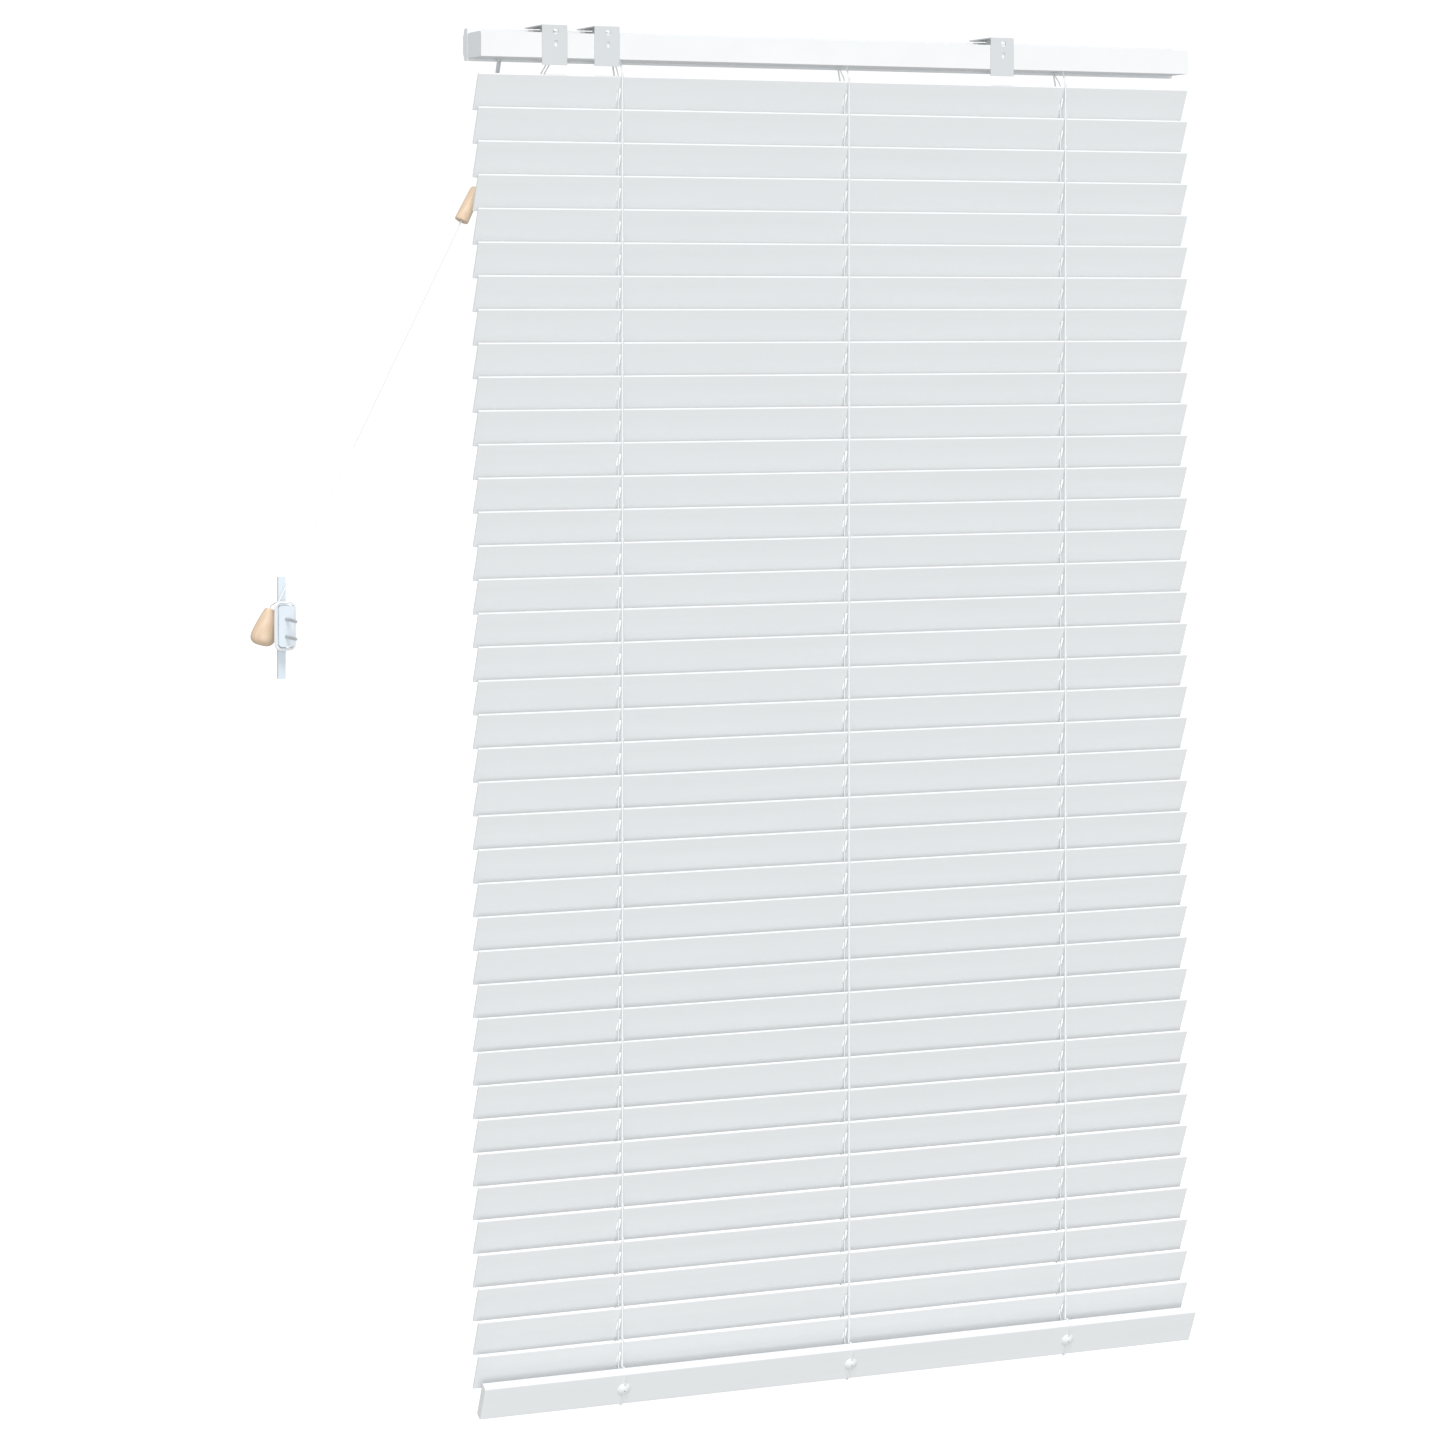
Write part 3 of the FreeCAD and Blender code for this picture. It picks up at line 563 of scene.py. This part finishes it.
def rail_wrap(side, inset):
    """A string's wrap about the rail, from over its top to the button; side is 1 at its wall edge."""
    edge = RAIL_HALF_WIDTH + STRING
    below = RAIL_HALF_THICK + STRING
    return [on_rail(side * (RAIL_HALF_WIDTH - inset), -RAIL_HALF_THICK - 3 * MM),
            on_rail(side * edge, -below),
            on_rail(side * edge, 0),
            on_rail(side * edge, below),
            on_rail(side * (RAIL_HALF_WIDTH - 5 * MM), below),
            on_rail(side * 6 * MM, below)]


def stretch(start, end, parts):
    """Evenly spaced points of a straight stretch."""
    return [start.lerp(end, part / parts) for part in range(parts + 1)]


def rail_ends(material):
    """The last stretch of each string, and its wrap about the rail to the button."""
    wall_wrap = rail_wrap(1, 4 * MM)
    room_wrap = rail_wrap(-1, 1 * MM)
    for number, x in enumerate(LADDERS_X, start=1):
        for name, wrap, y in (("wall", wall_wrap, WALL_Y), ("room", room_wrap, ROOM_Y)):
            points = at_ladder(x, wrap)
            piece = tubes("%s_wrap_%d" % (name, number), [smooth_route(points)], STRING, material)
            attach(piece, "bottom_rail")
            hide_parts("ladder_and_lift_cords")
            start = Vector((x, y, STRING_END_Z))
            end = Vector(points[0])
            last = tubes("%s_string_end_%d" % (name, number), [stretch(start, end, 12)], STRING, material)
            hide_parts("ladder_and_lift_cords")
            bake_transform(last)
        start = Vector((x, LIFT_Y, LIFT_END_Z))
        end = Vector((x, *on_rail(0, -RAIL_HALF_THICK + 1 * MM)[-2:]))
        last = tubes("lift_cord_end_%d" % number, [stretch(start, end, 8)], LIFT, material)
        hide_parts("ladder_and_lift_cords")
        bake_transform(last)


def ladders():
    """Everything of the three ladders."""
    cord = braid("ladder_string")
    strings(cord)
    rungs(cord)
    rail_ends(cord)


# Hardware

SCREW_GAP = 21.2 * MM
SCREW_CORE = 1.5 * MM
SCREW_RIDGE = 0.6 * MM
SCREW_PITCH = 2.2 * MM
SCREW_TIP = 7 * MM
SCREW_POINT = 0.12              # share of the radius left at the point
SCREW_SIDES = 20
RINGS_PER_TURN = 8
RIDGE_SHARPNESS = 5
SCREW_HEAD_ROOM = 3 * MM
SCREW_HEAD = 2.3 * MM
SCREW_HEAD_OUTLINE = ((0, 1.5 * MM), (0.2 * MM, 2.4 * MM), (1.9 * MM, 3.7 * MM), (2.2 * MM, 3.6 * MM),
                      (SCREW_HEAD, 3.0 * MM), (SCREW_HEAD, 1.3 * MM), (1.2 * MM, 0.9 * MM))


def thread(x, y, z, length):
    """Vertices and faces of a threaded shank along +Y from its point."""
    rings = int(length / SCREW_PITCH * RINGS_PER_TURN)
    verts = []
    for ring in range(rings + 1):
        along = length * ring / rings
        taper = min(1, SCREW_POINT + along / SCREW_TIP)
        for step in range(SCREW_SIDES):
            angle = 2 * math.pi * step / SCREW_SIDES
            phase = (along / SCREW_PITCH - step / SCREW_SIDES) % 1
            ridge = max(0, 1 - abs(phase - 0.5) * RIDGE_SHARPNESS)
            radius = (SCREW_CORE + SCREW_RIDGE * ridge) * taper
            verts.append((x + radius * math.cos(angle), y + along, z + radius * math.sin(angle)))
    return verts, ring_faces(rings + 1, SCREW_SIDES, inwards=True)


def cleat_screws(material):
    """Two wood screws with a helical thread, standing out of the cleat's back."""
    low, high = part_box("cleat_screws")
    x = (low.x + high.x) / 2
    middle = (low.z + high.z) / 2
    for number, z in enumerate((middle - SCREW_GAP / 2, middle + SCREW_GAP / 2), start=1):
        verts, faces = thread(x, low.y, z, high.y - low.y - SCREW_HEAD_ROOM)
        piece = solid("cleat_screw_%d" % number, verts, faces, material)
        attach(piece, "headrail")
        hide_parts("cleat_screws")
        head = lathe("cleat_screw_head_%d" % number, SCREW_HEAD_OUTLINE, (x, high.y - SCREW_HEAD, z),
                     (0, 1, 0), material, 32)
        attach(head, "headrail")
        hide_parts("cleat_screws")


def dress_nodes():
    """Materials of the nodes that show as they are, and the screws."""
    wood = painted_wood()
    for number in range(1, SLAT_COUNT + 1):
        dress("slat_%02d" % number, wood)
    dress("bottom_rail", wood)
    dress("valance", wood)
    dress("headrail", coated_steel("channel_coat", (0.87, 0.88, 0.885), 0.36))
    dress("mounting_brackets", coated_steel("bracket_coat", (0.66, 0.685, 0.695), 0.34))
    dress("end_caps", moulded("cap_plastic", (0.87, 0.885, 0.91), 0.45))
    dress("rail_buttons", moulded("button_plastic", (0.90, 0.92, 0.93), 0.28, coat=0.3))
    inner = moulded("inner_plastic", (0.80, 0.81, 0.81), 0.5)
    for name in ("drum_cradles", "tilter_housing", "tilter_gear", "tilt_drums", "cord_lock"):
        dress(name, inner)
    dress("cleat", moulded("cleat_plastic", (0.76, 0.83, 0.89), 0.3, coat=0.25))
    dress("wand", clear_plastic())
    metal = zinc()
    for name in ("tilt_rod", "tilter_worm", "wand_hook"):
        dress(name, metal)
    cleat_screws(metal)


# Stage: pale floor, white surroundings and two broad soft suns

FLOOR_Z = -1.95
FLOOR_REACH = 40
FLOOR_GLOW = 0.45
FILL = 0.54
BACKGROUND = 1.05
SUN_SPREAD = math.radians(30)
SUNS = {"key": (0.98, (-0.28, -0.96, 0.03)), "top": (1.70, (-0.20, -0.52, 0.83))}


def make_floor():
    corners = ((-1, -1), (1, -1), (1, 1), (-1, 1))
    mesh = bpy.data.meshes.new("floor")
    mesh.from_pydata([(x * FLOOR_REACH, y * FLOOR_REACH, FLOOR_Z) for x, y in corners], [], [(0, 1, 2, 3)])
    floor = bpy.data.objects.new("floor", mesh)
    bpy.context.scene.collection.objects.link(floor)
    nodes = Nodes("pale_floor")
    nodes.tones(nodes.noise(3, detail=2), (0.90, 0.90, 0.90), (0.93, 0.93, 0.93))
    nodes.set(Roughness=0.9, Emission_Color=(1, 1, 1, 1), Emission_Strength=FLOOR_GLOW)
    mesh.materials.append(nodes.material)
    floor.visible_diffuse = False
    floor.visible_glossy = False
    floor.visible_shadow = False


def make_world():
    """Soft fill on the blind, and plain white for the camera."""
    world = bpy.data.worlds.new("studio")
    world.use_nodes = True
    bpy.context.scene.world = world
    tree = world.node_tree
    fill = tree.nodes["Background"]
    fill.inputs["Color"].default_value = (0.97, 0.985, 1.0, 1)
    fill.inputs["Strength"].default_value = FILL
    seen = tree.nodes.new("ShaderNodeBackground")
    seen.inputs["Color"].default_value = (1, 1, 1, 1)
    seen.inputs["Strength"].default_value = BACKGROUND
    rays = tree.nodes.new("ShaderNodeLightPath")
    mix = tree.nodes.new("ShaderNodeMixShader")
    tree.links.new(rays.outputs["Is Camera Ray"], mix.inputs["Fac"])
    tree.links.new(fill.outputs["Background"], mix.inputs[1])
    tree.links.new(seen.outputs["Background"], mix.inputs[2])
    tree.links.new(mix.outputs["Shader"], tree.nodes["World Output"].inputs["Surface"])


def make_suns():
    """Each sun's energy, and the direction that its light comes from."""
    for name, (energy, source) in SUNS.items():
        light = bpy.data.lights.new(name, "SUN")
        light.energy = energy
        light.angle = SUN_SPREAD
        lamp = bpy.data.objects.new(name, light)
        bpy.context.scene.collection.objects.link(lamp)
        lamp.rotation_euler = Vector(source).to_track_quat("Z", "Y").to_euler()


def stage():
    make_floor()
    make_world()
    make_suns()
    bpy.context.scene.view_settings.view_transform = "Standard"


make_camera()
cords()
ladders()
dress_nodes()
stage()
